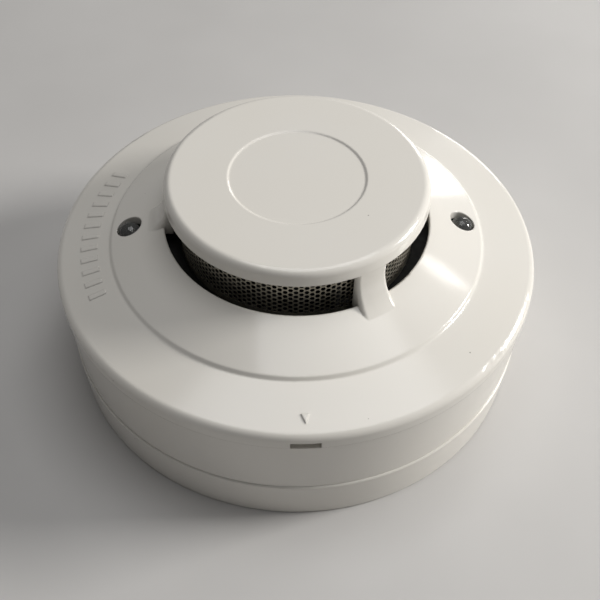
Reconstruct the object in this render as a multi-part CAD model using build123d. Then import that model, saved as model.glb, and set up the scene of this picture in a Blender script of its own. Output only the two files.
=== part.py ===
from build123d import *
import math
import os

os.makedirs("parts", exist_ok=True)

# Combined optical smoke and heat detector: a twist-lock base, a head with its
# circuit board and optical chamber, and a press-fitted outer cover.
# Origin: centre of the mounting face. +Z runs from the mounting face to the cap.
# The alignment mark and the pry notch are on -Y, the alarm LEDs are on +X and -X.
# All sizes are in millimetres and all angles in degrees.

# ---------------------------------------------------------------- outer shape
HEIGHT = 47.5
RIM_RADIUS = 51.0
RIM_Z = 29.55
RIM_FILLET = 1.6
SKIRT_LOW = 26.2
STEP_OUTER = (39.75, 31.7)
STEP_INNER = (39.2, 32.35)
STEP_FILLET = 0.5
VENT_RADIUS = 27.75
VENT_LOW = 36.8
VENT_HIGH = 44.0
COVER_WALL = 2.0
SKIRT_INNER = 49.2
EDGE = 0.3
SEAM_EDGE = 0.12

# ------------------------------------------------------------------------ cap
CAP_RADIUS = 27.25
CAP_TOP_RADIUS = 26.9
CAP_FILLET = 1.5
CAP_INNER = 25.6
CAP_UNDERSIDE = 45.3
RECESS_RADIUS = 14.0
RECESS_DEPTH = 0.25
RECESS_SLOPE = 0.12
RECESS_FILLET = 0.3

# ----------------------------------------------------------------------- ribs
RIB_ANGLES = (-60.0, 60.0, 180.0)
RIB_WIDTH = 6.8
RIB_FOOT_WIDTH = 8.2
RIB_INNER = 26.0
RIB_FLARE_RADIUS = 7.9
RIB_FLARE_TURN = 67.5
RIB_EDGE = 0.8
RIB_SINK = 0.08

# --------------------------------------------------------- marks on the cover
MARK_AZIMUTH = -90.0
MARK_INNER = 46.2
MARK_OUTER = 48.1
MARK_WIDTH = 1.7
RELIEF = 0.22
TICK_AZIMUTH = 177.8
TICK_SPAN = 48.4
TICK_COUNT = 12
TICK_INNER = 42.2
TICK_OUTER = 45.8
TICK_WIDTH = 1.3
NOTCH_WIDTH = 5.7
NOTCH_TOP = 27.9

# ----------------------------------------------------------------- alarm LEDs
LED_RADIUS = 2.45
LED_HOLE_RADIUS = 2.7
LED_DISTANCE = 35.4
LED_TOP = 34.25
LED_BOTTOM = 25.7
LED_FLANGE_RADIUS = 2.85
LED_ANGLES = {"left": 180.0, "right": 0.0}

# ------------------------------------------------------------------ head body
BODY_LOW = 10.77
BODY_LOW_RADIUS = 49.95
BODY_HIGH = 26.1
BODY_HIGH_RADIUS = 50.85
BODY_FLOOR = 12.8
BODY_WALL = 2.0
SPIGOT_OUTER = 48.9
SPIGOT_INNER = 47.1
SPIGOT_TOP = 27.6
GUIDE_OUTER = 47.4
GUIDE_INNER = 46.2
GUIDE_LOW = 8.6
STANDOFF_ANGLES = (30.0, 150.0, 270.0)
STANDOFF_DISTANCE = 39.5
STANDOFF_RADIUS = 3.2
SNAP_ANGLES = (45.0, 135.0, 225.0, 315.0)
SNAP_HALF_ANGLE = 5.0
SNAP_HEIGHT = 0.2
SPIGOT_ROOT = 1.0
SPIGOT_TAPER = 1.5

# ----------------------------------------------------------------------- base
BASE_RADIUS = 49.74
BASE_TOP_RADIUS = 50.35
BASE_TOP = 10.7
BASE_TOP_ROUND = 0.45
BASE_INNER = 47.9
BASE_FLOOR = 2.2
CABLE_RADIUS = 11.0
CABLE_COLLAR_WALL = 1.6
CABLE_COLLAR_TOP = 5.0
SLOT_WIDTH = 4.5
SLOT_X_SPACING = 60.0
SLOT_X_LENGTH = 14.0
SLOT_Y_SPACING = 50.0
SLOT_Y_LENGTH = 10.0

# ------------------------------------------------------- twist-lock contacts
CONTACT_ANGLES = (45.0, 135.0, 225.0, 315.0)
CONTACT_INNER = 34.0
CONTACT_OUTER = 42.0
ARM_INNER = 36.5
ARM_OUTER = 41.5
METAL = 0.8
PAD_LOW = 4.0
ARM_LOW = 7.1
ARM_END = 8.0
ARM_LIP = 1.2
RISER_END = -9.0
RISER_START = -10.4
PAD_START = -32.0
BOSS_START = -33.0
SHELF_END = 6.0
TERMINAL_ANGLE = -22.0
TERMINAL_DISTANCE = 38.0
TERMINAL_SHANK_RADIUS = 1.4
TERMINAL_HEAD_RADIUS = 3.0
TERMINAL_HEAD_HEIGHT = 1.9
CLAMP_SIDE = 6.4
RIVET_ANGLE = -12.8
RIVET_SHANK_RADIUS = 0.8
RIVET_HEAD_RADIUS = 1.25
RIVET_HEAD_HEIGHT = 0.7
BLIND_HOLE_LOW = 0.6
SHANK_TIP = 0.8
BLADE_START = -7.0
BLADE_END = 5.0
BLADE_LOW = 6.2
BLADE_TAB_INNER = 33.5
BLADE_FLANGE_INNER = 27.0
POST_DISTANCE = 30.5
POST_SHANK_RADIUS = 1.3
POST_HEAD_RADIUS = 2.2
POST_PIN_RADIUS = 0.7
LABEL_RADIUS = 18.0
LABEL_THICKNESS = 0.15

# -------------------------------------------------------------- circuit board
BOARD_RADIUS = 44.0
BOARD_LOW = 20.4
BOARD_TOP = 22.0
BOARD_SCREW_RADIUS = 1.15
BOARD_SCREW_HEAD_RADIUS = 2.6
BOARD_SCREW_HEAD_HEIGHT = 1.7
LEG_END = BOARD_LOW - 0.6
LED_LEG = 0.5
LED_LEG_SPACING = 2.54
HOLE_GAP = 0.1
RUNNING_GAP = 0.05

# ---------------------------------- screw heads, as parts of their own size
HEAD_ROUND = 0.4
CROSS_LENGTH = 1.24
CROSS_WIDTH = 0.25
CROSS_DEPTH = 0.55

# --------------------------------------------------- parts on the board
CHIP_WIDTH = 3.9
CHIP_HEIGHT = 1.5
CHIP_CLEAR = 0.2
CHIP_LEG = 0.42
CHIP_PITCH = 1.27
CONTROLLER_LENGTH = 10.2
CONTROLLER_PINS = 8
CONTROLLER_PLACE = (247.0, 36.5)
AMPLIFIER_LENGTH = 5.2
AMPLIFIER_PINS = 4
AMPLIFIER_PLACE = (196.0, 37.5)
LARGE_CAN = (4.0, 7.4)
LARGE_CAN_PLACE = (76.0, 34.5)
SMALL_CAN = (2.5, 5.4)
SMALL_CAN_PLACES = ((92.0, 33.5), (103.5, 33.5))
FILM_SIZE = (3.0, 7.2, 6.0)
FILM_PLACE = (59.0, 36.5)
RESISTOR = (0.95, 3.6, 6.4)
RESISTOR_ANGLES = (119.0, 211.0)
RESISTOR_DISTANCES = (31.0, 34.5, 38.0)
DIODE = (1.25, 4.4, 8.0)
DIODE_ANGLES = (290.0, 306.5)
DIODE_DISTANCES = (34.0, 38.5)
WIRE_RADIUS = 0.28
TRANSISTOR_RADIUS = 2.3
TRANSISTOR_PLACE = (332.0, 35.5)

# ----------------------------------------------------- chamber and the screen
DRUM_OUTER = 24.0
DRUM_INNER = 22.4
PLATE_LOW = 31.0
LEDGE_RADIUS = 30.0
LEDGE_TOP = 32.0
PLATE_RADIUS = 24.2
PLATE_TOP = 32.6
ROOF_LOW = 43.2
ROOF_TOP = 44.8
SCREEN_OUTER = 24.6
SCREEN_INNER = 24.35
SCREEN_TOP = 44.6
ROOF_DISH_RADIUS = 9.0
ROOF_DISH_DEPTH = 0.5
CHAMBER_PIN_ANGLES = (0.0, 120.0, 240.0)
CHAMBER_PIN_RADIUS = 1.0
CHAMBER_PIN_DISTANCE = 23.2
VANE_COUNT = 20
VANE_THICKNESS = 1.4
VANE_SPINE = [(17.0, -2.3), (20.2, 0.9), (23.4, -1.5)]
OPTIC_HEIGHT = 37.2
OPTIC_RADIUS = 1.5
OPTIC_WIRE = 0.4
OPTIC_LEG_DISTANCE = 14.0
OPTIC_LEG_OFFSET = 1.15
LENS_TIP = 7.0
HOLDER_INNER = 5.0
HOLDER_OUTER = 12.6
HOLDER_WIDTH = 5.6
HOLDER_TOP = 39.8
SHIELD_INNER = 7.0
SHIELD_GAP = 0.15
SHIELD_SHEET = 0.3
EMITTER_AZIMUTH = 205.0
RECEIVER_AZIMUTH = 335.0
THERMISTOR_AZIMUTH = 90.0
THERMISTOR_DISTANCE = 26.3
THERMISTOR_Z = 39.5
THERMISTOR_BEAD_RADIUS = 0.85
THERMISTOR_NECK_RADIUS = 0.6
THERMISTOR_NECK_LENGTH = 2.4
THERMISTOR_LEG_SPACING = 1.6
THERMISTOR_LEG_RADIUS = 0.22


# ------------------------------------------------------------ shape helpers
def cylinder(radius, low, high):
    """Upright cylinder on the Z axis between two heights."""
    return Pos(0, 0, low) * Cylinder(radius, high - low, align=(Align.CENTER, Align.CENTER, Align.MIN))


def ring(inner, outer, low, high):
    """Upright tube on the Z axis."""
    return cylinder(outer, low, high) - cylinder(inner, low - 1, high + 1)


def block(x_size, y_size, low, high):
    """Upright box centred on the Z axis between two heights."""
    return Pos(0, 0, low) * Box(x_size, y_size, high - low, align=(Align.CENTER, Align.CENTER, Align.MIN))


def at(azimuth, distance, shape):
    """Turn a shape about Z and move it out to a distance from the axis."""
    return Rot(0, 0, azimuth) * Pos(distance, 0, 0) * shape


def turned(points, radii=None):
    """Body of revolution from a closed (radius, height) outline, rounded where radii are given."""
    if radii is None:
        outline = Polyline(*points, close=True)
    else:
        outline = FilletPolyline(*points, radius=radii, close=True)
    return revolve(make_face(Plane.XZ * outline), Axis.Z)


def sector(inner, outer, low, high, start, end):
    """Ring segment between two azimuths."""
    reach = outer * 1.5
    middle = math.radians((start + end) / 2)
    first = math.radians(start)
    last = math.radians(end)
    corners = [
        (0, 0),
        (reach * math.cos(first), reach * math.sin(first)),
        (reach * math.cos(middle), reach * math.sin(middle)),
        (reach * math.cos(last), reach * math.sin(last)),
    ]
    wedge = Pos(0, 0, low) * extrude(make_face(Polyline(*corners, close=True)), high - low)
    return ring(inner, outer, low, high) & wedge


def joined(shapes):
    """Fuse a list of overlapping shapes into one solid."""
    result = shapes[0]
    for shape in shapes[1:]:
        result = result + shape
    return result


def group(shapes):
    """Keep a list of separate solids together as one node."""
    solids = []
    for shape in shapes:
        solids.extend(shape.solids())
    return Compound(children=solids)


def save(name, shape):
    """Write one node's STEP file."""
    shape.label = name
    export_step(shape, "parts/" + name + ".step")


def cone_height(radius):
    """Height of the cone's outer face at a radius."""
    slope = (VENT_LOW - STEP_INNER[1]) / (STEP_INNER[0] - VENT_RADIUS)
    return VENT_LOW - slope * (radius - VENT_RADIUS)


def band_height(radius):
    """Height of the outer band's top face at a radius."""
    slope = (STEP_OUTER[1] - RIM_Z) / (RIM_RADIUS - STEP_OUTER[0])
    return RIM_Z + slope * (RIM_RADIUS - radius)


# ----------------------------------------------------------------- the cover
def cover_dish():
    """Skirt, rim, sloping band, step and cone, open at the vent."""
    outline = [
        (RIM_RADIUS, SKIRT_LOW),
        (RIM_RADIUS, RIM_Z),
        STEP_OUTER,
        STEP_INNER,
        (VENT_RADIUS, VENT_LOW),
        (VENT_RADIUS, VENT_LOW - COVER_WALL),
        (STEP_INNER[0], STEP_INNER[1] - COVER_WALL),
        (STEP_OUTER[0], STEP_OUTER[1] - COVER_WALL),
        (SKIRT_INNER, band_height(SKIRT_INNER) - COVER_WALL),
        (SKIRT_INNER, SKIRT_LOW),
    ]
    radii = [SEAM_EDGE, RIM_FILLET, STEP_FILLET, STEP_FILLET, EDGE, EDGE, 0, 0, 0, 0]
    return turned(outline, radii)


def cap():
    """Cap with a shallow round recess in its top and a short skirt round its edge."""
    outline = [
        (0, CAP_UNDERSIDE),
        (CAP_INNER, CAP_UNDERSIDE),
        (CAP_INNER, VENT_HIGH),
        (CAP_RADIUS, VENT_HIGH),
        (CAP_TOP_RADIUS, HEIGHT),
        (RECESS_RADIUS + RECESS_SLOPE, HEIGHT),
        (RECESS_RADIUS - RECESS_SLOPE, HEIGHT - RECESS_DEPTH),
        (0, HEIGHT - RECESS_DEPTH),
    ]
    radii = [0, 0, EDGE, EDGE, CAP_FILLET, RECESS_FILLET, RECESS_FILLET, 0]
    return turned(outline, radii)


def rib_section():
    """Side view of a rib as a (radius, height) face: upright at the cap, flared at its foot."""
    turn = math.radians(RIB_FLARE_TURN)
    top_radius = CAP_RADIUS - RIB_SINK
    top_z = VENT_HIGH + EDGE
    foot_radius = top_radius + RIB_FLARE_RADIUS * (1 - math.cos(turn))
    foot_z = cone_height(foot_radius) - RIB_SINK
    flare_top = foot_z + RIB_FLARE_RADIUS * math.sin(turn)
    flare_middle = (
        top_radius + RIB_FLARE_RADIUS * (1 - math.cos(turn / 2)),
        flare_top - RIB_FLARE_RADIUS * math.sin(turn / 2),
    )
    root_z = VENT_LOW - COVER_WALL
    inside_cone = (foot_radius - 1, cone_height(foot_radius) - COVER_WALL / 2)
    flare = ThreePointArc((top_radius, flare_top), flare_middle, (foot_radius, foot_z))
    rest = Polyline(
        (foot_radius, foot_z),
        inside_cone,
        (VENT_RADIUS, root_z),
        (RIB_INNER, root_z),
        (RIB_INNER, top_z),
        (top_radius, top_z),
        (top_radius, flare_top),
    )
    return make_face(Plane.XZ * Curve(children=[flare] + list(rest.edges())))


def rib_plan(reach):
    """Rib as seen from above: parallel sides under the cap, spreading over the cone."""
    half = RIB_WIDTH / 2
    half_foot = RIB_FOOT_WIDTH / 2
    corners = [(1, -half), (CAP_RADIUS, -half), (reach, -half_foot)]
    corners += [(reach, half_foot), (CAP_RADIUS, half), (1, half)]
    return extrude(make_face(Polyline(*corners, close=True)), HEIGHT)


def rib(azimuth):
    """Rib between the cap and the cone, with rounded outer edges."""
    full_turn = revolve(rib_section(), Axis.Z)
    reach = full_turn.bounding_box().max.X
    solid = (full_turn & rib_plan(reach + 1)).solid()
    outer_edges = []
    for edge in solid.edges():
        middle = edge.center()
        on_side = abs(middle.Y) > RIB_WIDTH / 2 - EDGE / 10
        if on_side and middle.X > RIB_INNER + 1 and middle.Z > VENT_LOW - COVER_WALL / 2:
            if edge.bounding_box().size.Z > 1:
                outer_edges.append(edge)
    return Rot(0, 0, azimuth) * fillet(outer_edges, RIB_EDGE)


def raised_layer():
    """Thin skin that stands on the outer band by the height of its raised marks."""
    inner = STEP_OUTER[0] + 1
    outer = RIM_RADIUS - RIM_FILLET
    outline = [
        (inner, band_height(inner) - RELIEF),
        (outer, band_height(outer) - RELIEF),
        (outer, band_height(outer) + RELIEF),
        (inner, band_height(inner) + RELIEF),
    ]
    return turned(outline)


def raised_mark(prism):
    """The part of the raised layer inside an upright prism, with its top edges bevelled."""
    mark = raised_layer() & prism
    top = max(mark.faces(), key=lambda face: face.normal_at().Z)
    return chamfer(top.edges(), RELIEF / 2)


def alignment_mark():
    """Small raised triangle that points at the rim."""
    corners = [(MARK_INNER, -MARK_WIDTH / 2), (MARK_OUTER, 0), (MARK_INNER, MARK_WIDTH / 2)]
    prism = extrude(make_face(Polyline(*corners, close=True)), HEIGHT)
    return raised_mark(Rot(0, 0, MARK_AZIMUTH) * prism)


def raised_ticks():
    """Row of plain raised bars on the outer band."""
    ticks = []
    for index in range(TICK_COUNT):
        azimuth = TICK_AZIMUTH + TICK_SPAN * (index / (TICK_COUNT - 1) - 0.5)
        length = TICK_OUTER - TICK_INNER
        bar = at(azimuth, (TICK_OUTER + TICK_INNER) / 2, block(length, TICK_WIDTH, 0, HEIGHT))
        ticks.append(raised_mark(bar))
    return ticks


def outer_cover():
    """The whole cover: dish, cap, ribs and raised marks, with the LED holes and the pry notch."""
    cover = joined([cover_dish(), cap()] + [rib(azimuth) for azimuth in RIB_ANGLES])
    cover = joined([cover, alignment_mark()] + raised_ticks())
    for azimuth in LED_ANGLES.values():
        cover = cover - at(azimuth, LED_DISTANCE, cylinder(LED_HOLE_RADIUS, SKIRT_LOW, HEIGHT))
    notch_depth = 2 * (RIM_RADIUS - SPIGOT_OUTER)
    notch = block(notch_depth, NOTCH_WIDTH, SKIRT_LOW - 1, NOTCH_TOP)
    return cover - at(MARK_AZIMUTH, RIM_RADIUS, notch)


# ------------------------------------------------------------- the head body
def standoff(azimuth):
    """Pillar under the circuit board with a hole for its screw."""
    pillar = cylinder(STANDOFF_RADIUS, BODY_FLOOR - 0.5, BOARD_LOW)
    return at(azimuth, STANDOFF_DISTANCE, pillar)


def snap_bead(azimuth):
    """Low bead on the spigot that the cover snaps over."""
    low = (BODY_HIGH + SPIGOT_TOP) / 2 - EDGE
    high = low + 2 * EDGE
    start = azimuth - SNAP_HALF_ANGLE
    end = azimuth + SNAP_HALF_ANGLE
    return sector(SPIGOT_INNER + 1, SPIGOT_OUTER + SNAP_HEIGHT, low, high, start, end)


def head_body():
    """Drum with a floor, a spigot for the cover and a guide ring for the base."""
    inner_low = BODY_LOW_RADIUS - BODY_WALL
    inner_high = BODY_HIGH_RADIUS - BODY_WALL - EDGE
    outline = [
        (0, BODY_LOW),
        (BODY_LOW_RADIUS, BODY_LOW),
        (BODY_HIGH_RADIUS, BODY_HIGH),
        (SPIGOT_OUTER, BODY_HIGH),
        (SPIGOT_OUTER, SPIGOT_TOP),
        (SPIGOT_INNER, SPIGOT_TOP),
        (SPIGOT_INNER, BODY_HIGH - SPIGOT_ROOT),
        (inner_high, BODY_HIGH - SPIGOT_ROOT - SPIGOT_TAPER),
        (inner_low, BODY_FLOOR),
        (0, BODY_FLOOR),
    ]
    radii = [0, 0, SEAM_EDGE, 0, EDGE, 0, 0, 0, 0, 0]
    pieces = [turned(outline, radii), ring(GUIDE_INNER, GUIDE_OUTER, GUIDE_LOW, BODY_LOW + 0.5)]
    pieces += [standoff(azimuth) for azimuth in STANDOFF_ANGLES]
    pieces += [snap_bead(azimuth) for azimuth in SNAP_ANGLES]
    body = joined(pieces)
    for azimuth in STANDOFF_ANGLES:
        hole = cylinder(BOARD_SCREW_RADIUS + RUNNING_GAP, BODY_FLOOR + 0.5, BOARD_LOW + 1)
        body = body - at(azimuth, STANDOFF_DISTANCE, hole)
    for azimuth in CONTACT_ANGLES:
        hole = cylinder(POST_SHANK_RADIUS + RUNNING_GAP, 0, BODY_FLOOR + 1)
        body = body - at(azimuth, POST_DISTANCE, hole)
    return body


# ------------------------------------------------------------------ the base
def straight_slot(length, x, y, angle):
    """Round-ended slot cut right through the base's floor."""
    outline = SlotOverall(length, SLOT_WIDTH)
    cutter = extrude(outline, BASE_FLOOR + 2)
    return Pos(x, y, -1) * Rot(0, 0, angle) * cutter


def contact_boss(azimuth):
    """Raised seat for a contact strip, with a shelf under its spring arm."""
    root = BASE_FLOOR - 0.5
    seat_end = azimuth + RISER_END
    seat = sector(CONTACT_INNER, CONTACT_OUTER + 0.5, root, PAD_LOW, azimuth + BOSS_START, seat_end)
    shelf = sector(ARM_INNER, ARM_OUTER, root, BLADE_LOW - HOLE_GAP, seat_end + 0.5, azimuth + SHELF_END)
    return seat + shelf


def base_shell():
    """Round tray with a central cable entry, two pairs of fixing slots and four contact seats."""
    outline = [
        (CABLE_RADIUS, 0),
        (BASE_RADIUS, 0),
        (BASE_TOP_RADIUS, BASE_TOP),
        (BASE_INNER, BASE_TOP),
        (BASE_INNER, BASE_FLOOR),
        (CABLE_RADIUS + CABLE_COLLAR_WALL, BASE_FLOOR),
        (CABLE_RADIUS + CABLE_COLLAR_WALL, CABLE_COLLAR_TOP),
        (CABLE_RADIUS, CABLE_COLLAR_TOP),
    ]
    radii = [0, EDGE, BASE_TOP_ROUND, EDGE, 0, 0, 0, 0]
    base = joined([turned(outline, radii)] + [contact_boss(azimuth) for azimuth in CONTACT_ANGLES])
    for side in (-1, 1):
        base = base - straight_slot(SLOT_X_LENGTH, side * SLOT_X_SPACING / 2, 0, 0)
        base = base - straight_slot(SLOT_Y_LENGTH, 0, side * SLOT_Y_SPACING / 2, 90)
    for azimuth in CONTACT_ANGLES:
        screw_hole = cylinder(TERMINAL_SHANK_RADIUS + RUNNING_GAP, BLIND_HOLE_LOW, PAD_LOW + 1)
        rivet_hole = cylinder(RIVET_SHANK_RADIUS + RUNNING_GAP, BLIND_HOLE_LOW, PAD_LOW + 1)
        base = base - at(azimuth + TERMINAL_ANGLE, TERMINAL_DISTANCE, screw_hole)
        base = base - at(azimuth + RIVET_ANGLE, TERMINAL_DISTANCE, rivet_hole)
    return base


def base_contact(azimuth):
    """Contact strip: a flat terminal pad, a riser and the spring arm that grips a blade."""
    pad_top = PAD_LOW + METAL
    arm_top = ARM_LOW + METAL
    lip_top = arm_top + METAL
    riser_start = azimuth + RISER_START
    riser_end = azimuth + RISER_END
    arm_end = azimuth + ARM_END
    pad = sector(CONTACT_INNER, CONTACT_OUTER, PAD_LOW, pad_top, azimuth + PAD_START, riser_end)
    riser = sector(ARM_INNER, ARM_OUTER, PAD_LOW, arm_top, riser_start, riser_end)
    arm = sector(ARM_INNER, ARM_OUTER, ARM_LOW, arm_top, riser_start, arm_end)
    lip = sector(ARM_INNER, ARM_OUTER, ARM_LOW, lip_top, arm_end - ARM_LIP, arm_end)
    strip = joined([pad, riser, arm, lip])
    screw_hole = cylinder(TERMINAL_SHANK_RADIUS + RUNNING_GAP, 0, ARM_LOW)
    rivet_hole = cylinder(RIVET_SHANK_RADIUS + RUNNING_GAP, 0, ARM_LOW)
    strip = strip - at(azimuth + TERMINAL_ANGLE, TERMINAL_DISTANCE, screw_hole)
    return strip - at(azimuth + RIVET_ANGLE, TERMINAL_DISTANCE, rivet_hole)


def cross_slot(radius, top, depth):
    """Cutter for a cross recess in a screw head."""
    bar = block(radius * CROSS_LENGTH, radius * CROSS_WIDTH, top - depth, top + 1)
    return bar + Rot(0, 0, 90) * bar


def pan_screw(head_radius, head_height, shank_radius, seat, tip):
    """Cross-head screw: its head sits on the seat height and its shank ends at the tip height."""
    head = cylinder(head_radius, seat, seat + head_height)
    top_edge = head.edges().filter_by(GeomType.CIRCLE).sort_by(Axis.Z)[-1]
    head = fillet(top_edge, head_height * HEAD_ROUND)
    head = head - cross_slot(head_radius, seat + head_height, head_height * CROSS_DEPTH)
    return head + cylinder(shank_radius, tip, seat + EDGE)


def terminal_screws():
    """One terminal screw on each contact strip."""
    seat = PAD_LOW + 2 * METAL
    height = TERMINAL_HEAD_HEIGHT
    screw = pan_screw(TERMINAL_HEAD_RADIUS, height, TERMINAL_SHANK_RADIUS, seat, SHANK_TIP)
    return group([at(azimuth + TERMINAL_ANGLE, TERMINAL_DISTANCE, screw) for azimuth in CONTACT_ANGLES])


def clamp_washers():
    """Square wire clamp under each terminal screw."""
    low = PAD_LOW + METAL
    plate = block(CLAMP_SIDE, CLAMP_SIDE, low, low + METAL)
    plate = fillet(plate.edges().filter_by(Axis.Z), 2 * EDGE)
    plate = plate - cylinder(TERMINAL_SHANK_RADIUS + RUNNING_GAP, 0, HEIGHT)
    return group([at(azimuth + TERMINAL_ANGLE, TERMINAL_DISTANCE, plate) for azimuth in CONTACT_ANGLES])


def base_rivets():
    """Rivet that holds each contact strip to the base."""
    seat = PAD_LOW + METAL
    head = cylinder(RIVET_HEAD_RADIUS, seat, seat + RIVET_HEAD_HEIGHT)
    rivet = head + cylinder(RIVET_SHANK_RADIUS, SHANK_TIP, seat + EDGE)
    return group([at(azimuth + RIVET_ANGLE, TERMINAL_DISTANCE, rivet) for azimuth in CONTACT_ANGLES])


# --------------------------------------------------- blades under the head
def contact_blade(azimuth):
    """Bent blade: a flange under the head's floor, a tab down and a foot that hooks under the arm."""
    start = azimuth + BLADE_START
    end = azimuth + BLADE_END
    flange = sector(BLADE_FLANGE_INNER, BLADE_TAB_INNER + METAL, BODY_LOW - METAL, BODY_LOW, start, end)
    tab = sector(BLADE_TAB_INNER, BLADE_TAB_INNER + METAL, BLADE_LOW, BODY_LOW, start, end)
    foot = sector(BLADE_TAB_INNER, ARM_OUTER, BLADE_LOW, BLADE_LOW + METAL, start, end)
    blade = joined([flange, tab, foot])
    return blade - at(azimuth, POST_DISTANCE, cylinder(POST_SHANK_RADIUS + RUNNING_GAP, 0, HEIGHT))


def contact_posts():
    """Riveted post through each blade and the head's floor, with a pin up to the circuit board."""
    blade_low = BODY_LOW - METAL
    head = cylinder(POST_HEAD_RADIUS, blade_low - METAL, blade_low)
    shank = cylinder(POST_SHANK_RADIUS, blade_low - METAL, BODY_FLOOR)
    collar = cylinder(POST_HEAD_RADIUS, BODY_FLOOR, BODY_FLOOR + 1)
    pin = cylinder(POST_PIN_RADIUS, BODY_FLOOR, BOARD_TOP + METAL)
    post = joined([head, shank, collar, pin])
    return group([at(azimuth, POST_DISTANCE, post) for azimuth in CONTACT_ANGLES])


def rating_label():
    """Blank round label on the underside of the head."""
    return cylinder(LABEL_RADIUS, BODY_LOW - LABEL_THICKNESS, BODY_LOW)


# ------------------------------------------------------------- circuit board
def circuit_board():
    """Round board with holes for its screws, posts, pins and the legs of the parts on it."""
    board = cylinder(BOARD_RADIUS, BOARD_LOW, BOARD_TOP)
    holes = []
    for azimuth in STANDOFF_ANGLES:
        holes.append(at(azimuth, STANDOFF_DISTANCE, cylinder(BOARD_SCREW_RADIUS + HOLE_GAP, 0, HEIGHT)))
    for azimuth in CONTACT_ANGLES:
        holes.append(at(azimuth, POST_DISTANCE, cylinder(POST_PIN_RADIUS + HOLE_GAP, 0, HEIGHT)))
    for azimuth in CHAMBER_PIN_ANGLES:
        pin_hole = cylinder(CHAMBER_PIN_RADIUS + HOLE_GAP, 0, HEIGHT)
        holes.append(at(azimuth, CHAMBER_PIN_DISTANCE, pin_hole))
    for azimuth in LED_ANGLES.values():
        holes += leg_pair(azimuth, LED_DISTANCE, LED_LEG_SPACING, cylinder(LED_LEG, 0, HEIGHT))
    for azimuth in (EMITTER_AZIMUTH, RECEIVER_AZIMUTH):
        holes += leg_pair(azimuth, OPTIC_LEG_DISTANCE, LED_LEG_SPACING, cylinder(LED_LEG, 0, HEIGHT))
    leg_hole = cylinder(THERMISTOR_LEG_RADIUS + HOLE_GAP, 0, HEIGHT)
    holes += leg_pair(THERMISTOR_AZIMUTH, THERMISTOR_DISTANCE, THERMISTOR_LEG_SPACING, leg_hole)
    for hole in holes:
        board = board - hole
    return board


def leg_pair(azimuth, distance, spacing, leg):
    """Two copies of a leg side by side across the radius."""
    return [at(azimuth, distance, Pos(0, side * spacing / 2, 0) * leg) for side in (-1, 1)]


def board_screws():
    """Screws that hold the board to the standoffs."""
    height = BOARD_SCREW_HEAD_HEIGHT
    screw = pan_screw(BOARD_SCREW_HEAD_RADIUS, height, BOARD_SCREW_RADIUS, BOARD_TOP, BODY_FLOOR + 1)
    return group([at(azimuth, STANDOFF_DISTANCE, screw) for azimuth in STANDOFF_ANGLES])


def chip(length, pins_per_side, place):
    """Flat chip with gull-wing legs, lying on the board, long side across the radius."""
    body = block(CHIP_WIDTH, length, BOARD_TOP + CHIP_CLEAR, BOARD_TOP + CHIP_CLEAR + CHIP_HEIGHT)
    body = chamfer(body.edges().group_by(Axis.Z)[-1], CHIP_CLEAR)
    pieces = [body]
    for index in range(pins_per_side):
        y = (index - (pins_per_side - 1) / 2) * CHIP_PITCH
        foot = block(CHIP_WIDTH + 2.0, CHIP_LEG, BOARD_TOP, BOARD_TOP + CHIP_CLEAR)
        knee = block(CHIP_WIDTH + 1.0, CHIP_LEG, BOARD_TOP, BOARD_TOP + CHIP_HEIGHT / 2)
        pieces.append(Pos(0, y, 0) * (foot + knee))
    return at(*place, joined(pieces))


def electrolytic(radius, height):
    """Upright can capacitor with a crimped groove near its foot."""
    can = cylinder(radius, BOARD_TOP, BOARD_TOP + height)
    groove = ring(radius - EDGE, radius + 1, BOARD_TOP + 1, BOARD_TOP + 1 + 2 * EDGE)
    can = can - groove
    top_edge = can.edges().filter_by(GeomType.CIRCLE).sort_by(Axis.Z)[-1]
    return fillet(top_edge, EDGE)


def axial_part(radius, length, pitch):
    """Axial resistor or diode along Y, held by two bent legs."""
    height = BOARD_TOP + radius + EDGE
    body = Pos(0, 0, height) * Rot(90, 0, 0) * Cylinder(radius, length)
    body = fillet(body.edges().filter_by(GeomType.CIRCLE), EDGE)
    lead = Pos(0, 0, height) * Rot(90, 0, 0) * Cylinder(WIRE_RADIUS, pitch)
    pieces = [body, lead]
    for side in (-1, 1):
        leg = cylinder(WIRE_RADIUS, BOARD_TOP, height + WIRE_RADIUS)
        pieces.append(Pos(0, side * pitch / 2, 0) * leg)
    return joined(pieces)


def grid(part, azimuths, distances):
    """Copies of a part at each pair of azimuth and distance."""
    return group([at(azimuth, distance, part) for distance in distances for azimuth in azimuths])


def small_capacitors():
    """Two small can capacitors."""
    return group([at(*place, electrolytic(*SMALL_CAN)) for place in SMALL_CAN_PLACES])


def film_capacitor():
    """Box capacitor standing on the board."""
    width, length, height = FILM_SIZE
    box = block(width, length, BOARD_TOP, BOARD_TOP + height)
    return at(*FILM_PLACE, fillet(box.edges(), EDGE))


def resistors():
    """Six axial resistors in two rows."""
    return grid(axial_part(*RESISTOR), RESISTOR_ANGLES, RESISTOR_DISTANCES)


def rectifier_diodes():
    """Four diodes of the polarity bridge."""
    return grid(axial_part(*DIODE), DIODE_ANGLES, DIODE_DISTANCES)


def transistor():
    """Small three-leg transistor with a flat face."""
    radius = TRANSISTOR_RADIUS
    low = BOARD_TOP + radius * 0.8
    body = cylinder(radius, low, low + 2 * radius)
    body = body - Pos(radius * 1.3, 0, 0) * block(radius * 1.4, radius * 3, BOARD_TOP, HEIGHT)
    pieces = [body]
    for y in (-CHIP_PITCH, 0, CHIP_PITCH):
        pieces.append(Pos(0, y, 0) * block(CHIP_LEG, CHIP_LEG, BOARD_TOP, low + EDGE))
    return at(*TRANSISTOR_PLACE, joined(pieces))


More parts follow.
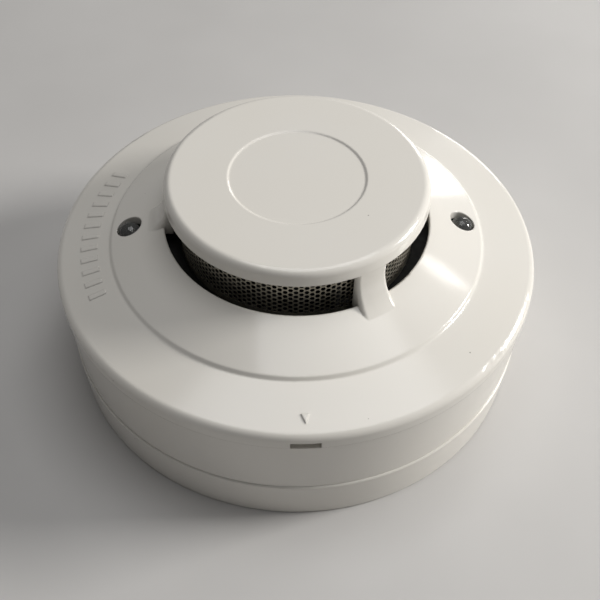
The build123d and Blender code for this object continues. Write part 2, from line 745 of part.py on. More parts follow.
def alarm_led(azimuth):
    """Five millimetre LED: flange, clear body with a domed top and two legs."""
    flange = cylinder(LED_FLANGE_RADIUS, LED_BOTTOM, LED_BOTTOM + 1.0)
    body = cylinder(LED_RADIUS, LED_BOTTOM, LED_TOP - LED_RADIUS)
    dome = Pos(0, 0, LED_TOP - LED_RADIUS) * Sphere(LED_RADIUS)
    legs = []
    for side in (-1, 1):
        leg = block(LED_LEG, LED_LEG, LEG_END, LED_BOTTOM + EDGE)
        legs.append(Pos(0, side * LED_LEG_SPACING / 2, 0) * leg)
    return at(azimuth, LED_DISTANCE, joined([flange, body, dome] + legs))


def led_spacers():
    """Spacer under each LED that sets its height above the board."""
    tube = cylinder(LED_FLANGE_RADIUS, BOARD_TOP, LED_BOTTOM)
    for side in (-1, 1):
        tube = tube - Pos(0, side * LED_LEG_SPACING / 2, 0) * cylinder(LED_LEG, 0, HEIGHT)
    return group([at(azimuth, LED_DISTANCE, tube) for azimuth in LED_ANGLES.values()])


# ------------------------------------------------------------ optical chamber
def optic_holder(azimuth):
    """Block on the chamber floor with a bore that aims a lens at the middle of the chamber."""
    length = HOLDER_OUTER - HOLDER_INNER
    middle = (HOLDER_OUTER + HOLDER_INNER) / 2
    body = block(length, HOLDER_WIDTH, PLATE_TOP - EDGE, HOLDER_TOP)
    bore = Pos(0, 0, OPTIC_HEIGHT) * Rot(0, 90, 0) * Cylinder(OPTIC_RADIUS + RUNNING_GAP, 2 * length)
    return at(azimuth, middle, body - bore)


def chamber_base():
    """Drum on the board with a floor plate, a wide ledge that closes the vent and two lens holders."""
    outline = [
        (0, PLATE_LOW),
        (DRUM_INNER, PLATE_LOW),
        (DRUM_INNER, BOARD_TOP),
        (DRUM_OUTER, BOARD_TOP),
        (DRUM_OUTER, PLATE_LOW),
        (LEDGE_RADIUS, PLATE_LOW),
        (LEDGE_RADIUS, LEDGE_TOP),
        (PLATE_RADIUS, LEDGE_TOP),
        (PLATE_RADIUS, PLATE_TOP),
        (0, PLATE_TOP),
    ]
    pieces = [turned(outline)]
    pieces += [optic_holder(EMITTER_AZIMUTH), optic_holder(RECEIVER_AZIMUTH)]
    pin = cylinder(CHAMBER_PIN_RADIUS, LEG_END, BOARD_TOP + 0.5)
    pieces += [at(azimuth, CHAMBER_PIN_DISTANCE, pin) for azimuth in CHAMBER_PIN_ANGLES]
    chamber = joined(pieces)
    for azimuth in (EMITTER_AZIMUTH, RECEIVER_AZIMUTH):
        way_width = 2 * OPTIC_LEG_OFFSET + 4 * OPTIC_WIRE
        leg_way = block(4 * OPTIC_WIRE, way_width, PLATE_LOW - 1, PLATE_TOP + 1)
        chamber = chamber - at(azimuth, OPTIC_LEG_DISTANCE, leg_way)
    leg_hole = cylinder(THERMISTOR_LEG_RADIUS + HOLE_GAP, PLATE_LOW - 1, PLATE_TOP)
    for hole in leg_pair(THERMISTOR_AZIMUTH, THERMISTOR_DISTANCE, THERMISTOR_LEG_SPACING, leg_hole):
        chamber = chamber - hole
    return chamber


def light_vane(azimuth):
    """Bent vane that lets air in and keeps light out."""
    back = [(x, y + VANE_THICKNESS) for x, y in reversed(VANE_SPINE)]
    vane = extrude(make_face(Polyline(*(VANE_SPINE + back), close=True)), ROOF_LOW + EDGE - PLATE_TOP)
    return Rot(0, 0, azimuth) * Pos(0, 0, PLATE_TOP) * vane


def chamber_cover():
    """Roof of the optical chamber with its ring of vanes."""
    roof = cylinder(PLATE_RADIUS, ROOF_LOW, ROOF_TOP)
    roof = roof - cylinder(ROOF_DISH_RADIUS, ROOF_TOP - ROOF_DISH_DEPTH, ROOF_TOP + 1)
    step = 360.0 / VANE_COUNT
    return joined([roof] + [light_vane(index * step) for index in range(VANE_COUNT)])


def optic(azimuth):
    """Small lens body that lies in a holder and points at the middle, with two legs down to the board."""
    tip = LENS_TIP + OPTIC_RADIUS
    length = HOLDER_OUTER + 2 * EDGE - tip
    barrel = Pos(tip + length / 2, 0, OPTIC_HEIGHT) * Rot(0, 90, 0) * Cylinder(OPTIC_RADIUS, length)
    lens = Pos(tip, 0, OPTIC_HEIGHT) * Sphere(OPTIC_RADIUS)
    pieces = [barrel, lens]
    reach = OPTIC_LEG_DISTANCE - tip
    for side in (-1, 1):
        y = side * OPTIC_LEG_OFFSET
        lead = Pos(tip + reach / 2, y, OPTIC_HEIGHT) * Box(reach, OPTIC_WIRE, OPTIC_WIRE)
        top = OPTIC_HEIGHT + OPTIC_WIRE / 2
        leg = Pos(OPTIC_LEG_DISTANCE, y, 0) * block(OPTIC_WIRE, OPTIC_WIRE, LEG_END, top)
        pieces += [lead, leg]
    return Rot(0, 0, azimuth) * joined(pieces)


def sensor_shield():
    """Folded metal can over the receiver's holder, open towards the middle of the chamber."""
    length = HOLDER_OUTER - SHIELD_INNER
    inner_width = HOLDER_WIDTH + 2 * SHIELD_GAP
    inner_top = HOLDER_TOP + SHIELD_GAP
    outside = block(length, inner_width + 2 * SHIELD_SHEET, PLATE_TOP, inner_top + SHIELD_SHEET)
    inside = block(length + 2, inner_width, PLATE_TOP - 1, inner_top)
    return at(RECEIVER_AZIMUTH, SHIELD_INNER + length / 2, outside - inside)


def insect_screen():
    """Thin metal strip rolled into a ring round the chamber; its fine perforation is left out here."""
    return ring(SCREEN_INNER, SCREEN_OUTER, LEDGE_TOP, SCREEN_TOP)


def thermistor():
    """Heat sensor: a glass bead in the vent on two thin legs."""
    bead = Pos(0, 0, THERMISTOR_Z) * Sphere(THERMISTOR_BEAD_RADIUS)
    neck_low = THERMISTOR_Z - THERMISTOR_NECK_LENGTH
    neck = cylinder(THERMISTOR_NECK_RADIUS, neck_low, THERMISTOR_Z)
    wire = 2 * THERMISTOR_LEG_RADIUS
    bridge = block(wire, THERMISTOR_LEG_SPACING + wire, neck_low, neck_low + wire)
    leg = cylinder(THERMISTOR_LEG_RADIUS, LEG_END, neck_low + wire / 2)
    legs = leg_pair(0, 0, THERMISTOR_LEG_SPACING, leg)
    return at(THERMISTOR_AZIMUTH, THERMISTOR_DISTANCE, joined([bead, neck, bridge] + legs))


# ---------------------------------------------------------------- write nodes
save("outer_cover", outer_cover())
save("head_body", head_body())
save("base_shell", base_shell())
for number, contact_azimuth in enumerate(CONTACT_ANGLES, start=1):
    save("base_contact_" + str(number), base_contact(contact_azimuth))
    save("contact_blade_" + str(number), contact_blade(contact_azimuth))
save("terminal_screws", terminal_screws())
save("clamp_washers", clamp_washers())
save("base_rivets", base_rivets())
save("contact_posts", contact_posts())
save("rating_label", rating_label())
save("circuit_board", circuit_board())
save("board_screws", board_screws())
save("controller_chip", chip(CONTROLLER_LENGTH, CONTROLLER_PINS, CONTROLLER_PLACE))
save("amplifier_chip", chip(AMPLIFIER_LENGTH, AMPLIFIER_PINS, AMPLIFIER_PLACE))
save("large_capacitor", at(*LARGE_CAN_PLACE, electrolytic(*LARGE_CAN)))
save("small_capacitors", small_capacitors())
save("film_capacitor", film_capacitor())
save("resistors", resistors())
save("rectifier_diodes", rectifier_diodes())
save("transistor", transistor())
for side_name, led_azimuth in LED_ANGLES.items():
    save("alarm_led_" + side_name, alarm_led(led_azimuth))
save("led_spacers", led_spacers())
save("chamber_base", chamber_base())
save("chamber_cover", chamber_cover())
save("infrared_led", optic(EMITTER_AZIMUTH))
save("photodiode", optic(RECEIVER_AZIMUTH))
save("sensor_shield", sensor_shield())
save("insect_screen", insect_screen())
save("thermistor", thermistor())
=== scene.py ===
import math
import random

import bmesh
import bpy
from mathutils import Matrix, Vector


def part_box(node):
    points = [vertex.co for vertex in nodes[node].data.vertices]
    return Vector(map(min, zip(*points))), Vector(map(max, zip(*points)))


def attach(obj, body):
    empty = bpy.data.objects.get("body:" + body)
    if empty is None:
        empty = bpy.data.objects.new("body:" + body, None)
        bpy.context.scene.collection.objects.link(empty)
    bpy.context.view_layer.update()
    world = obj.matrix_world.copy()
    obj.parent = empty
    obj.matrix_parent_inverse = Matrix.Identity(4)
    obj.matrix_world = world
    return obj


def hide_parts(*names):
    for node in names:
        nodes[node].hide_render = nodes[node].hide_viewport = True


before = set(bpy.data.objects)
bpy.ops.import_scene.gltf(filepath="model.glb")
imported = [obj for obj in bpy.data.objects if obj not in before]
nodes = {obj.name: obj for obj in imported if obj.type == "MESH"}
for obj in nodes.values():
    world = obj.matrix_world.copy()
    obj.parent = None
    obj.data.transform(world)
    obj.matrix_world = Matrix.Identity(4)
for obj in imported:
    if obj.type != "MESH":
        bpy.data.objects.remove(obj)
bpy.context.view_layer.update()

MM = 0.001
UP = Vector((0.0, 0.0, 1.0))

# ------------------------------------------------------------------ camera
# The camera looks down at the detector from the side of its alignment mark.
CAMERA_TURN = math.radians(-3.0)
CAMERA_ELEVATION = math.radians(49.04)
CAMERA_ROLL = math.radians(1.17)
CAMERA_DISTANCE = 204.07 * MM
CAMERA_TARGET = Vector((1.03, -9.42, 20.0)) * MM
CAMERA_LENS = 56.42
CAMERA_SENSOR = 36.0
CAMERA_CLIP = 10 * MM

# ------------------------------------------------------------------- stage
# The floor lies just under the mounting face, so that the two planes never share one plane.
FLOOR_LEVEL = -0.05 * MM
FLOOR_SIZE = 3.0
FLOOR_CELLS = 8
WORLD_COLOUR = (0.80, 0.79, 0.78, 1.0)
WORLD_STRENGTH = 0.12
DAYLIGHT = (1.0, 0.98, 0.945)
NEUTRAL = (1.0, 1.0, 1.0)
LIGHT_TARGET = (0.0, 0.0, 0.03)
# Name, place and size in metres, power in watts, colour. The glossy cone mirrors the two windows.
SOFTBOXES = (
    ("key", (0.80, 0.07, 0.41), (0.27, 0.25), 7.2, DAYLIGHT),
    ("low_window", (0.415, 0.78, 0.207), (0.22, 0.18), 0.9, DAYLIGHT),
    ("high_window", (0.589, 0.347, 0.598), (0.07, 0.07), 0.14, DAYLIGHT),
    ("top", (0.10, 0.05, 0.85), (0.60, 0.60), 2.6, NEUTRAL),
)

# ------------------------------------------------- sizes that the CAD holds
SCREEN_LOW, SCREEN_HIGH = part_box("insect_screen")
SCREEN_RADIUS = SCREEN_HIGH.x
BOARD_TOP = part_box("circuit_board")[1].z

# ---------------------------------------------------------- insect screen
HOLE_PITCH = 1.2 * MM
HOLE_FLATS = 0.9 * MM
SCREEN_THICKNESS = 0.12 * MM
HEM_HEIGHT = 0.9 * MM
HEM_THICKNESS = 0.25 * MM
# The hems overlap the ragged ends of the honeycomb.
HEM_BAND = 1.6 * HEM_HEIGHT
HEM_SEGMENTS = 144
SCREEN_WELD = 0.02 * MM

# ------------------------------------------- painted bands on small bodies
BAND_PROUD = 0.03 * MM
BAND_SUNK = 0.1 * MM
RESISTOR_BAND_WIDTH = 0.36 * MM
VALUE_BAND_OFFSETS = (-1.2 * MM, -0.55 * MM, 0.1 * MM)
VALUE_BAND_COLOURS = ["brown", "black", "orange", "violet"]
TOLERANCE_BAND_OFFSET = 1.15 * MM
DIODE_BAND_WIDTH = 0.6 * MM
DIODE_BAND_OFFSET = 1.35 * MM

# -------------------------------------------------------------- capacitors
CAN_TOP_SHARE = 0.72
CAN_TOP_PROUD = 0.05 * MM
SCORE_TURNS = (30.0, 90.0, 150.0)
SCORE_SHARE = 1.5
SCORE_WIDTH = 0.14 * MM
SCORE_HEIGHT = 0.04 * MM
STRIPE_SUNK = 0.05 * MM
STRIPE_PROUD = 0.02 * MM
STRIPE_HALF_ANGLE = 22.0
STRIPE_FOOT = 1.9 * MM
STRIPE_TOP_GAP = 0.9 * MM
STRIPE_TURN = math.radians(40)

# ----------------------------------------------------------------- solder
# Sections are (outward, upward) pairs in millimetres.
SOLDER_SECTION = ((0.0, -0.01), (0.55, -0.01), (0.43, 0.09), (0.2, 0.3), (0.03, 0.62), (0.0, 0.62))
SOLDER_SEGMENTS = 24
POST_SOLDER_RADIUS = 0.75 * MM
LED_SOLDER_RADIUS = 0.28 * MM
THERMISTOR_SOLDER_RADIUS = 0.2 * MM
THERMISTOR_LEG_INSET = 0.15 * MM

# ------------------------------------------------- copper tracks and pads
# Radii, pitches, widths and the pad section are in millimetres; starts, spans and gaps in degrees.
TRACK_LANES = 13
TRACK_FIRST_RADIUS = 26.2
TRACK_LANE_PITCH = 1.3
TRACK_WIDTHS = [0.3, 0.3, 0.45, 0.8]
TRACK_FIRST_START = (0.0, 40.0)
TRACK_SPAN = (14.0, 60.0)
TRACK_GAP = (5.0, 16.0)
TRACK_LAST_START = 345.0
TRACK_LAST_END = 352.0
TRACK_SUNK = 0.01 * MM
TRACK_PROUD = 0.03 * MM
PAD_CHANCE = 0.45
PAD_SECTION = ((0.2, -0.01), (0.55, -0.01), (0.5, 0.05), (0.25, 0.05))
PAD_SEGMENTS = 20

# ---------------------------------------------------------- chips and label
CHIP_DOT_SECTION = ((0.0, -0.02), (0.36, -0.02), (0.42, 0.02), (0.3, 0.005), (0.0, 0.005))
CHIP_DOT_SEGMENTS = 24
CHIP_DOT_OUT = -1.15 * MM
CHIP_DOT_INSET = 1.0 * MM
INK_HEIGHT = 0.02 * MM
LABEL_RING_OUTER_INSET = 0.9 * MM
LABEL_RING_INNER_INSET = 1.3 * MM
LABEL_BAR_WIDTH = 0.9 * MM
# Lengths and places of the bars are in millimetres.
LABEL_BAR_LENGTHS = (15.0, 11.0, 13.0, 8.0)
LABEL_FIRST_BAR = 4.5
LABEL_BAR_PITCH = 3.0

# ------------------------------------------------------------- alarm LEDs
# Heights are above the foot of the clear body.
LED_RADIUS = 2.45 * MM
LED_HEIGHT = 8.55 * MM
LED_FLANGE_EDGE = 0.15 * MM
LED_FLANGE_HEIGHT = 1.0 * MM
LED_BARREL_FOOT = 1.05 * MM
LED_BARREL_LOW = 1.6 * MM
LED_DOME_STEPS = 14
LED_SEGMENTS = 64
LED_LEG_SPACING = 2.54 * MM
LED_LEG_WIDTH = 0.5 * MM
LED_LEG_TOP = 2.6 * MM
LED_LEG_EDGE = 0.05 * MM
LED_FRAME_EDGE = 0.06 * MM
# The anvil and the post: (beside, above) of the centre, then (width, height), in millimetres.
LED_FRAME_BLOCKS = (((0.55, 3.0), (1.9, 1.4)), ((-1.15, 3.1), (0.7, 1.9)))
LED_CUP_SECTION = ((0.0, -0.15), (0.28, -0.15), (0.62, 0.3), (0.74, 0.3), (0.6, -0.4), (0.0, -0.4))
LED_CUP_RISE = 3.9 * MM
LED_CUP_OFFSET = 0.35 * MM
LED_CUP_SEGMENTS = 32

# ---------------------------------------------------------- mesh settings
RING_SEGMENTS = 40
ARC_STEP = 3.0
SOLID_WELD = 0.001 * MM
BOX_BEVEL_SEGMENTS = 2
BOX_BEVEL_PROFILE = 0.6

# ------------------------------------------------------- optical constants
PLASTIC_IOR = 1.53
EPOXY_IOR = 1.54
CREASE_SAMPLES = 12
EDGE_SAMPLES = 6


# =============================================================== materials
class Surface:
    """A node material with one principled shader and helpers that add procedural detail to it."""

    def __init__(self, name, metallic=0.0):
        self.material = bpy.data.materials.new(name)
        self.material.use_nodes = True
        self.tree = self.material.node_tree
        self.shader = self.tree.nodes["Principled BSDF"]
        self.shader.inputs["Metallic"].default_value = metallic
        self.place = self.add("ShaderNodeTexCoord").outputs["Object"]
        self.height = None

    def add(self, kind, **settings):
        node = self.tree.nodes.new(kind)
        for key, value in settings.items():
            setattr(node, key, value)
        return node

    def join(self, source, target):
        self.tree.links.new(source, target)

    def set(self, **values):
        """Set shader sockets that hold one value all over the surface."""
        for key, value in values.items():
            self.shader.inputs[key.replace("_", " ")].default_value = value

    def noise(self, size, detail, stretch=None):
        """Noise whose features are about the given size in metres."""
        texture = self.add("ShaderNodeTexNoise")
        texture.inputs["Scale"].default_value = 1.0 / size
        texture.inputs["Detail"].default_value = detail
        source = self.place
        if stretch:
            mapping = self.add("ShaderNodeMapping")
            mapping.inputs["Scale"].default_value = stretch
            self.join(source, mapping.inputs["Vector"])
            source = mapping.outputs["Vector"]
        self.join(source, texture.inputs["Vector"])
        return texture.outputs["Fac"]

    def cells(self, size):
        """Distance to the nearest of scattered points, about the given size in metres apart."""
        texture = self.add("ShaderNodeTexVoronoi")
        texture.inputs["Scale"].default_value = 1.0 / size
        self.join(self.place, texture.inputs["Vector"])
        return texture.outputs["Distance"]

    def spread(self, source, low, high, from_low=0.3, from_high=0.7):
        """Map a value from one range to another, clamped."""
        node = self.add("ShaderNodeMapRange")
        node.inputs["From Min"].default_value = from_low
        node.inputs["From Max"].default_value = from_high
        node.inputs["To Min"].default_value = low
        node.inputs["To Max"].default_value = high
        self.join(source, node.inputs["Value"])
        return node.outputs["Result"]

    def mix(self, factor, first, second):
        """Blend two colours, or an output and a colour, by a factor output."""
        node = self.add("ShaderNodeMix", data_type="RGBA")
        self.join(factor, node.inputs[0])
        for value, socket in ((first, node.inputs[6]), (second, node.inputs[7])):
            if isinstance(value, bpy.types.NodeSocket):
                self.join(value, socket)
            else:
                socket.default_value = (*value, 1.0)
        return node.outputs[2]

    def colour(self, source):
        if isinstance(source, bpy.types.NodeSocket):
            self.join(source, self.shader.inputs["Base Color"])
        else:
            self.shader.inputs["Base Color"].default_value = (*source, 1.0)

    def roughness(self, source):
        self.join(source, self.shader.inputs["Roughness"])

    def bump(self, source, strength, distance):
        """Add a layer of relief on top of the layers already there."""
        node = self.add("ShaderNodeBump")
        node.inputs["Strength"].default_value = strength
        node.inputs["Distance"].default_value = distance
        self.join(source, node.inputs["Height"])
        if self.height:
            self.join(self.height, node.inputs["Normal"])
        self.height = node.outputs["Normal"]
        self.join(self.height, self.shader.inputs["Normal"])

    def round_edges(self, radius):
        """Shade sharp edges and corners as if they were rounded by a radius."""
        node = self.add("ShaderNodeBevel", samples=EDGE_SAMPLES)
        node.inputs["Radius"].default_value = radius
        self.height = node.outputs["Normal"]
        self.join(self.height, self.shader.inputs["Normal"])

    def creases(self, distance):
        """0 in tight corners, 1 on open faces."""
        node = self.add("ShaderNodeAmbientOcclusion", samples=CREASE_SAMPLES)
        node.inputs["Distance"].default_value = distance
        return node.outputs["AO"]


def shade(colour, factor):
    return tuple(channel * factor for channel in colour)


WHITE = (0.80, 0.778, 0.735)
SPECK_BROWN = (0.10, 0.085, 0.07)


def moulded_plastic(name, colour, gloss, soft_edge=0.0):
    """Glossy moulding: faint mottling, painted shade in the corners, rare specks and a slight ripple.

    The gloss is a roughness. It stays under 0.21, because the rough side of its variation shows as
    patches with hard edges once it passes 0.27.
    """
    s = Surface(name)
    aged = (colour[0] * 0.98, colour[1] * 0.965, colour[2] * 0.93)
    mottling = s.spread(s.noise(24 * MM, detail=2), 0.0, 0.7, from_low=0.1, from_high=0.9)
    base = s.mix(mottling, colour, aged)
    # Painted shade: the colour darkens towards 0.55 of itself in tight corners that ambient occlusion
    # finds within 1.4 mm.
    crease_shade = s.spread(s.creases(1.4 * MM), 0.32, 0.0, from_low=0.3, from_high=0.8)
    base = s.mix(crease_shade, base, shade(colour, 0.55))
    specks = s.spread(s.cells(6.5 * MM), 0.65, 0.0, from_low=0.016, from_high=0.03)
    s.colour(s.mix(specks, base, SPECK_BROWN))
    wear = s.noise(13 * MM, detail=1)
    s.roughness(s.spread(wear, gloss - 0.04, gloss + 0.06, from_low=0.1, from_high=0.9))
    if soft_edge:
        s.round_edges(soft_edge)
    s.bump(s.noise(3.5 * MM, detail=1), strength=0.1, distance=0.03 * MM)
    s.bump(s.noise(18 * MM, detail=1), strength=0.3, distance=0.07 * MM)
    s.set(IOR=PLASTIC_IOR)
    return s.material


def matt_plastic(name, colour, rough):
    """Lightly textured moulding with a fine spark-eroded grain."""
    s = Surface(name)
    mottling = s.spread(s.noise(4 * MM, detail=5), 0.0, 1.0)
    s.colour(s.mix(mottling, shade(colour, 0.82), shade(colour, 1.2)))
    s.roughness(s.spread(s.noise(1.2 * MM, detail=4), rough - 0.1, rough + 0.12))
    s.bump(s.noise(0.28 * MM, detail=3), strength=0.35, distance=0.02 * MM)
    return s.material


def rolled_metal(name, colour, rough, stain=(0.30, 0.22, 0.14)):
    """Plated or rolled sheet: drawn grain, handling stains and small dents."""
    s = Surface(name, metallic=1.0)
    tint = s.mix(s.spread(s.noise(2.5 * MM, detail=5), 0.0, 1.0), shade(colour, 0.8), colour)
    stains = s.spread(s.noise(5 * MM, detail=6), 0.0, 0.45, from_low=0.52, from_high=0.75)
    s.colour(s.mix(stains, tint, stain))
    grain = s.noise(0.5 * MM, detail=4, stretch=(0.08, 1.0, 1.0))
    s.roughness(s.spread(grain, rough - 0.08, rough + 0.14))
    s.bump(grain, strength=0.12, distance=0.01 * MM)
    s.bump(s.noise(2.0 * MM, detail=2), strength=0.08, distance=0.05 * MM)
    return s.material


def screen_metal():
    """Etched stainless strip, darkened in patches."""
    s = Surface("screen_metal", metallic=0.7)
    patches = s.spread(s.noise(3.5 * MM, detail=5), 0.0, 1.0)
    s.colour(s.mix(patches, (0.46, 0.43, 0.36), (0.66, 0.62, 0.53)))
    s.roughness(s.spread(s.noise(0.6 * MM, detail=4), 0.34, 0.58))
    s.bump(s.noise(0.2 * MM, detail=3), strength=0.2, distance=0.01 * MM)
    return s.material


def clear_epoxy():
    """Water-clear LED body with a slightly uneven skin."""
    s = Surface("clear_epoxy")
    s.colour((0.93, 0.94, 0.92))
    s.set(IOR=EPOXY_IOR, Transmission_Weight=0.93)
    s.roughness(s.spread(s.noise(1.5 * MM, detail=3), 0.02, 0.09))
    s.bump(s.noise(1.2 * MM, detail=2), strength=0.08, distance=0.03 * MM)
    return s.material


def tinted_epoxy(name, colour):
    """Smoky lens body that lets little light through."""
    s = Surface(name)
    clouds = s.spread(s.noise(1.5 * MM, detail=3), 0.0, 1.0)
    s.colour(s.mix(clouds, shade(colour, 0.8), shade(colour, 1.15)))
    s.set(IOR=EPOXY_IOR, Coat_Weight=0.6, Coat_Roughness=0.05)
    s.roughness(s.spread(s.noise(0.8 * MM, detail=3), 0.12, 0.28))
    s.bump(s.noise(1.0 * MM, detail=2), strength=0.06, distance=0.03 * MM)
    return s.material


def paper_label():
    """Blank matt label with faint fibres."""
    s = Surface("paper_label")
    fibres = s.noise(0.25 * MM, detail=5, stretch=(0.25, 1.0, 1.0))
    s.colour(s.mix(s.spread(fibres, 0.0, 1.0), (0.74, 0.73, 0.70), (0.86, 0.855, 0.83)))
    s.roughness(s.spread(s.noise(2 * MM, detail=3), 0.55, 0.75))
    s.bump(fibres, strength=0.15, distance=0.02 * MM)
    return s.material


def circuit_laminate():
    """Green solder mask over copper: two depths of ground fill, a paler brick net and a fine grain."""
    s = Surface("circuit_laminate")
    tracks = s.add("ShaderNodeTexBrick", offset=0.5)
    tracks.inputs["Scale"].default_value = 1.0 / (9 * MM)
    tracks.inputs["Mortar Size"].default_value = 0.05
    tracks.inputs["Mortar Smooth"].default_value = 0.1
    s.join(s.place, tracks.inputs["Vector"])
    fill = s.spread(s.noise(14 * MM, detail=2), 0.0, 1.0, from_low=0.48, from_high=0.5)
    base = s.mix(fill, (0.012, 0.085, 0.035), (0.02, 0.13, 0.05))
    base = s.mix(tracks.outputs["Fac"], base, (0.035, 0.20, 0.075))
    s.colour(base)
    s.roughness(s.spread(s.noise(1.5 * MM, detail=3), 0.22, 0.4))
    s.bump(tracks.outputs["Fac"], strength=0.4, distance=0.035 * MM)
    s.bump(s.noise(0.3 * MM, detail=2), strength=0.1, distance=0.01 * MM)
    return s.material


def glazed_bead():
    """Glass-coated bead over a dark core."""
    s = Surface("glazed_bead")
    clouds = s.spread(s.noise(0.8 * MM, detail=3), 0.0, 1.0)
    s.colour(s.mix(clouds, (0.16, 0.05, 0.025), (0.30, 0.11, 0.05)))
    s.set(Coat_Weight=0.8, Coat_Roughness=0.06)
    s.roughness(s.spread(s.noise(0.5 * MM, detail=3), 0.2, 0.4))
    return s.material


def floor_material():
    """Plain pale floor, barely mottled."""
    s = Surface("pale_floor")
    clouds = s.spread(s.noise(60 * MM, detail=3), 0.0, 1.0)
    s.colour(s.mix(clouds, (0.56, 0.55, 0.54), (0.60, 0.59, 0.58)))
    s.roughness(s.spread(s.noise(20 * MM, detail=3), 0.5, 0.65))
    return s.material


cover_plastic = moulded_plastic("cover_plastic", WHITE, 0.13, soft_edge=0.5 * MM)
body_plastic = moulded_plastic("body_plastic", shade(WHITE, 0.985), 0.19)
base_plastic = moulded_plastic("base_plastic", shade(WHITE, 0.985), 0.20)
nickel = rolled_metal("nickel_strip", (0.62, 0.60, 0.56), 0.28)
zinc = rolled_metal("zinc_plate", (0.60, 0.60, 0.58), 0.34)
tin = rolled_metal("tinned_sheet", (0.66, 0.66, 0.65), 0.24)
brass = rolled_metal("turned_brass", (0.62, 0.45, 0.20), 0.26, stain=(0.25, 0.15, 0.06))
screen_steel = screen_metal()
epoxy = clear_epoxy()
chamber_black = matt_plastic("chamber_black", (0.010, 0.010, 0.010), 0.68)
chip_black = matt_plastic("chip_black", (0.022, 0.022, 0.024), 0.45)
nylon = matt_plastic("black_nylon", (0.03, 0.03, 0.03), 0.5)
film_yellow = matt_plastic("film_yellow", (0.62, 0.40, 0.045), 0.35)
resistor_blue = matt_plastic("resistor_blue", (0.10, 0.26, 0.36), 0.35)
sleeve_blue = matt_plastic("sleeve_blue", (0.02, 0.03, 0.10), 0.3)
aluminium = rolled_metal("can_aluminium", (0.78, 0.78, 0.77), 0.3)
solder = rolled_metal("solder_tin", (0.70, 0.70, 0.70), 0.22)
band_silver = matt_plastic("band_silver", (0.50, 0.50, 0.49), 0.35)
stripe_grey = matt_plastic("stripe_grey", (0.42, 0.46, 0.52), 0.35)
dimple_grey = matt_plastic("dimple_grey", (0.05, 0.05, 0.052), 0.3)
print_grey = matt_plastic("print_grey", (0.10, 0.10, 0.105), 0.5)
mask_over_copper = matt_plastic("mask_over_copper", (0.035, 0.19, 0.07), 0.28)
BAND_COLOURS = {
    "brown": matt_plastic("band_brown", (0.14, 0.055, 0.02), 0.35),
    "black": matt_plastic("band_black", (0.012, 0.012, 0.012), 0.35),
    "orange": matt_plastic("band_orange", (0.62, 0.17, 0.02), 0.35),
    "violet": matt_plastic("band_violet", (0.16, 0.05, 0.24), 0.35),
    "gold": matt_plastic("band_gold", (0.48, 0.33, 0.10), 0.3),
}

FINISHES = {
    "outer_cover": cover_plastic,
    "head_body": body_plastic,
    "base_shell": base_plastic,
    "terminal_screws": zinc,
    "clamp_washers": zinc,
    "board_screws": zinc,
    "base_rivets": brass,
    "contact_posts": brass,
    "rating_label": paper_label(),
    "circuit_board": circuit_laminate(),
    "controller_chip": chip_black,
    "amplifier_chip": chip_black,
    "rectifier_diodes": chip_black,
    "transistor": chip_black,
    "large_capacitor": sleeve_blue,
    "small_capacitors": sleeve_blue,
    "film_capacitor": film_yellow,
    "resistors": resistor_blue,
    "led_spacers": nylon,
    "chamber_base": chamber_black,
    "chamber_cover": chamber_black,
    "infrared_led": tinted_epoxy("emitter_epoxy", (0.05, 0.06, 0.16)),
    "photodiode": tinted_epoxy("receiver_epoxy", (0.015, 0.01, 0.015)),
    "sensor_shield": tin,
    "thermistor": glazed_bead(),
}


def finish_cad_nodes():
    """Give every CAD node that stays visible its own procedural material."""
    for name, node in nodes.items():
        material = FINISHES.get(name)
        if name.startswith(("base_contact_", "contact_blade_")):
            material = nickel
        if material is None:
            continue
        node.data.materials.clear()
        node.data.materials.append(material)


# ============================================================ mesh helpers
def new_piece(name, mesh, body, material, smooth=True):
    """Link a finished bmesh as a named piece that rides on a body."""
    data = bpy.data.meshes.new(name)
    mesh.to_mesh(data)
    mesh.free()
    for polygon in data.polygons:
        polygon.use_smooth = smooth
    piece = bpy.data.objects.new(name, data)
    piece.data.materials.append(material)
    bpy.context.scene.collection.objects.link(piece)
    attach(piece, body)
    return piece


def section(points, radius=0.0, height=0.0):
    """A profile from (outward, upward) pairs in millimetres, shifted by a radius and a height."""
    return [(radius + out * MM, height + up * MM) for out, up in points]


def add_lathe(mesh, profile, segments, centre=(0.0, 0.0), closed=True):
    """Turn a (radius, height) profile about an upright axis and add it to a bmesh."""
    start = len(mesh.verts)
    rings = []
    for radius, height in profile:
        ring = []
        if radius <= 0.0:
            ring = [mesh.verts.new((centre[0], centre[1], height))] * segments
        else:
            for index in range(segments):
                angle = 2 * math.pi * index / segments
                x = centre[0] + radius * math.cos(angle)
                y = centre[1] + radius * math.sin(angle)
                ring.append(mesh.verts.new((x, y, height)))
        rings.append(ring)
    pairs = list(zip(rings, rings[1:]))
    if closed:
        pairs.append((rings[-1], rings[0]))
    for lower, upper in pairs:
        for index in range(segments):
            other = (index + 1) % segments
            corners = []
            for vertex in (lower[index], lower[other], upper[other], upper[index]):
                if vertex not in corners:
                    corners.append(vertex)
            if len(corners) > 2:
                mesh.faces.new(corners)
    mesh.verts.ensure_lookup_table()
    return mesh.verts[start:]


def place_ring(mesh, profile, centre, axis, segments=RING_SEGMENTS, closed=True):
    """Turn a profile about any axis: its heights run along the axis, from the centre."""
    vertices = add_lathe(mesh, profile, segments, closed=closed)
    turn = UP.rotation_difference(axis).to_matrix().to_4x4()
    bmesh.ops.transform(mesh, matrix=Matrix.Translation(centre) @ turn, verts=vertices)


